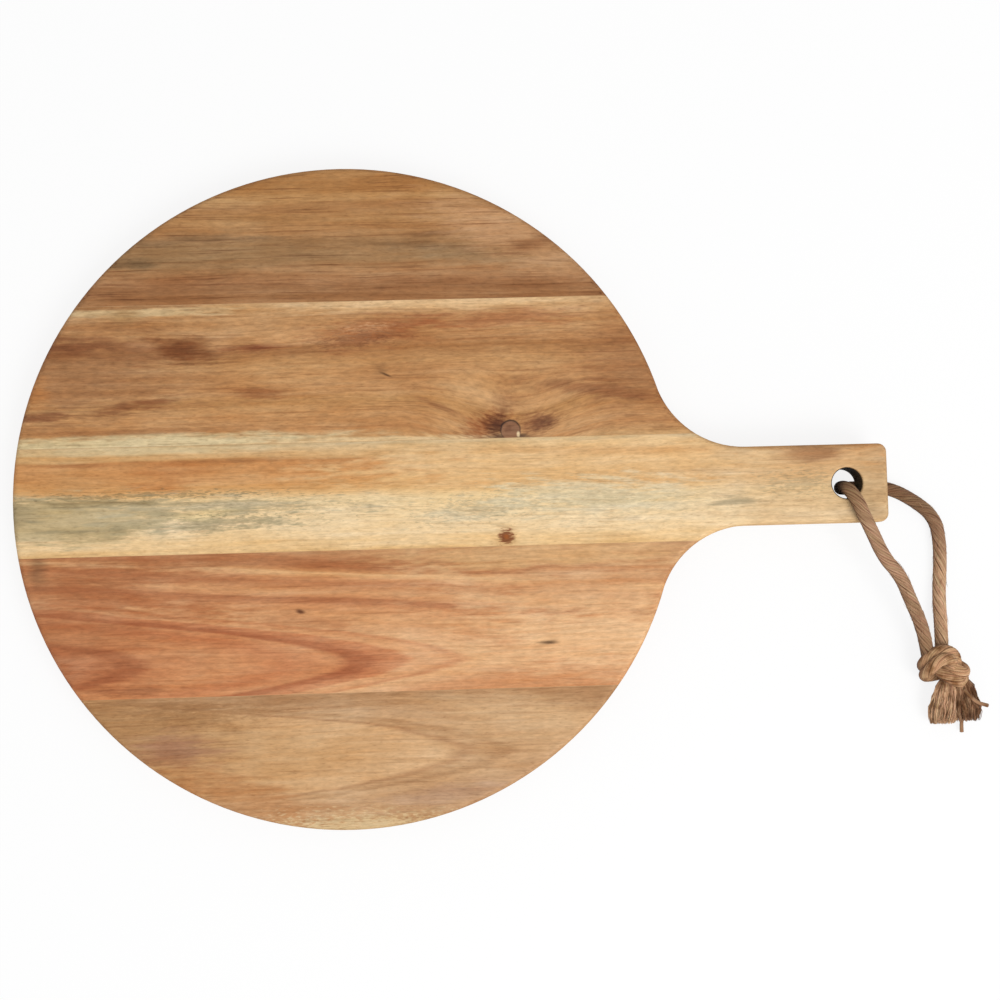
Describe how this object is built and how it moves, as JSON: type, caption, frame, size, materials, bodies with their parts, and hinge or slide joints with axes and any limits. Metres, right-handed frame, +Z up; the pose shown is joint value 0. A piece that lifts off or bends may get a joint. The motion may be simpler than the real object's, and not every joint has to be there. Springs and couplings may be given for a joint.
{
  "type": "pizza serving board",
  "caption": "Round wooden serving board with a short neck handle, edge-glued from staves, and a knotted rope loop through a hole in the handle for hanging.",
  "frame": {"origin": "on the table under the middle of the board's length and width, the rope left out", "axes": "+X along the board towards the handle's end, +Z up from the table, +Y to the right as seen from the handle's end; the board leans up by about 1 degree towards +X because its handle lies on the rope"},
  "size_m": [0.4381, 0.3, 0.0284],
  "materials": {
    "left_rim_wood": "oiled, tan-brown acacia",
    "left_inner_wood": "oiled, reddish acacia heartwood",
    "handle_wood": "oiled, pale acacia sapwood with grey streaks",
    "right_inner_wood": "oiled, brown acacia with a knot",
    "right_rim_wood": "oiled, brown acacia",
    "glue": "set wood glue",
    "jute": "twisted jute"
  },
  "bodies": {
    "board": {"left_rim_stave": "left_rim_wood", "left_inner_stave": "left_inner_wood", "handle_stave": "handle_wood", "right_inner_stave": "right_inner_wood", "right_rim_stave": "right_rim_wood", "left_rim_glue_line": "glue", "left_inner_glue_line": "glue", "right_inner_glue_line": "glue", "right_rim_glue_line": "glue"},
    "rope": {"rope_loop": "jute", "rope_knot": "jute", "rope_tassel": "jute"}
  },
  "joints": [
    {"name": "rope_swing", "type": "hinge", "parent": "board", "child": "rope", "pos_m": [0.17947, 0, 0.0138], "axis": [-0.0168, 0, 0.9999], "range_deg": [-36, 160]}
  ]
}
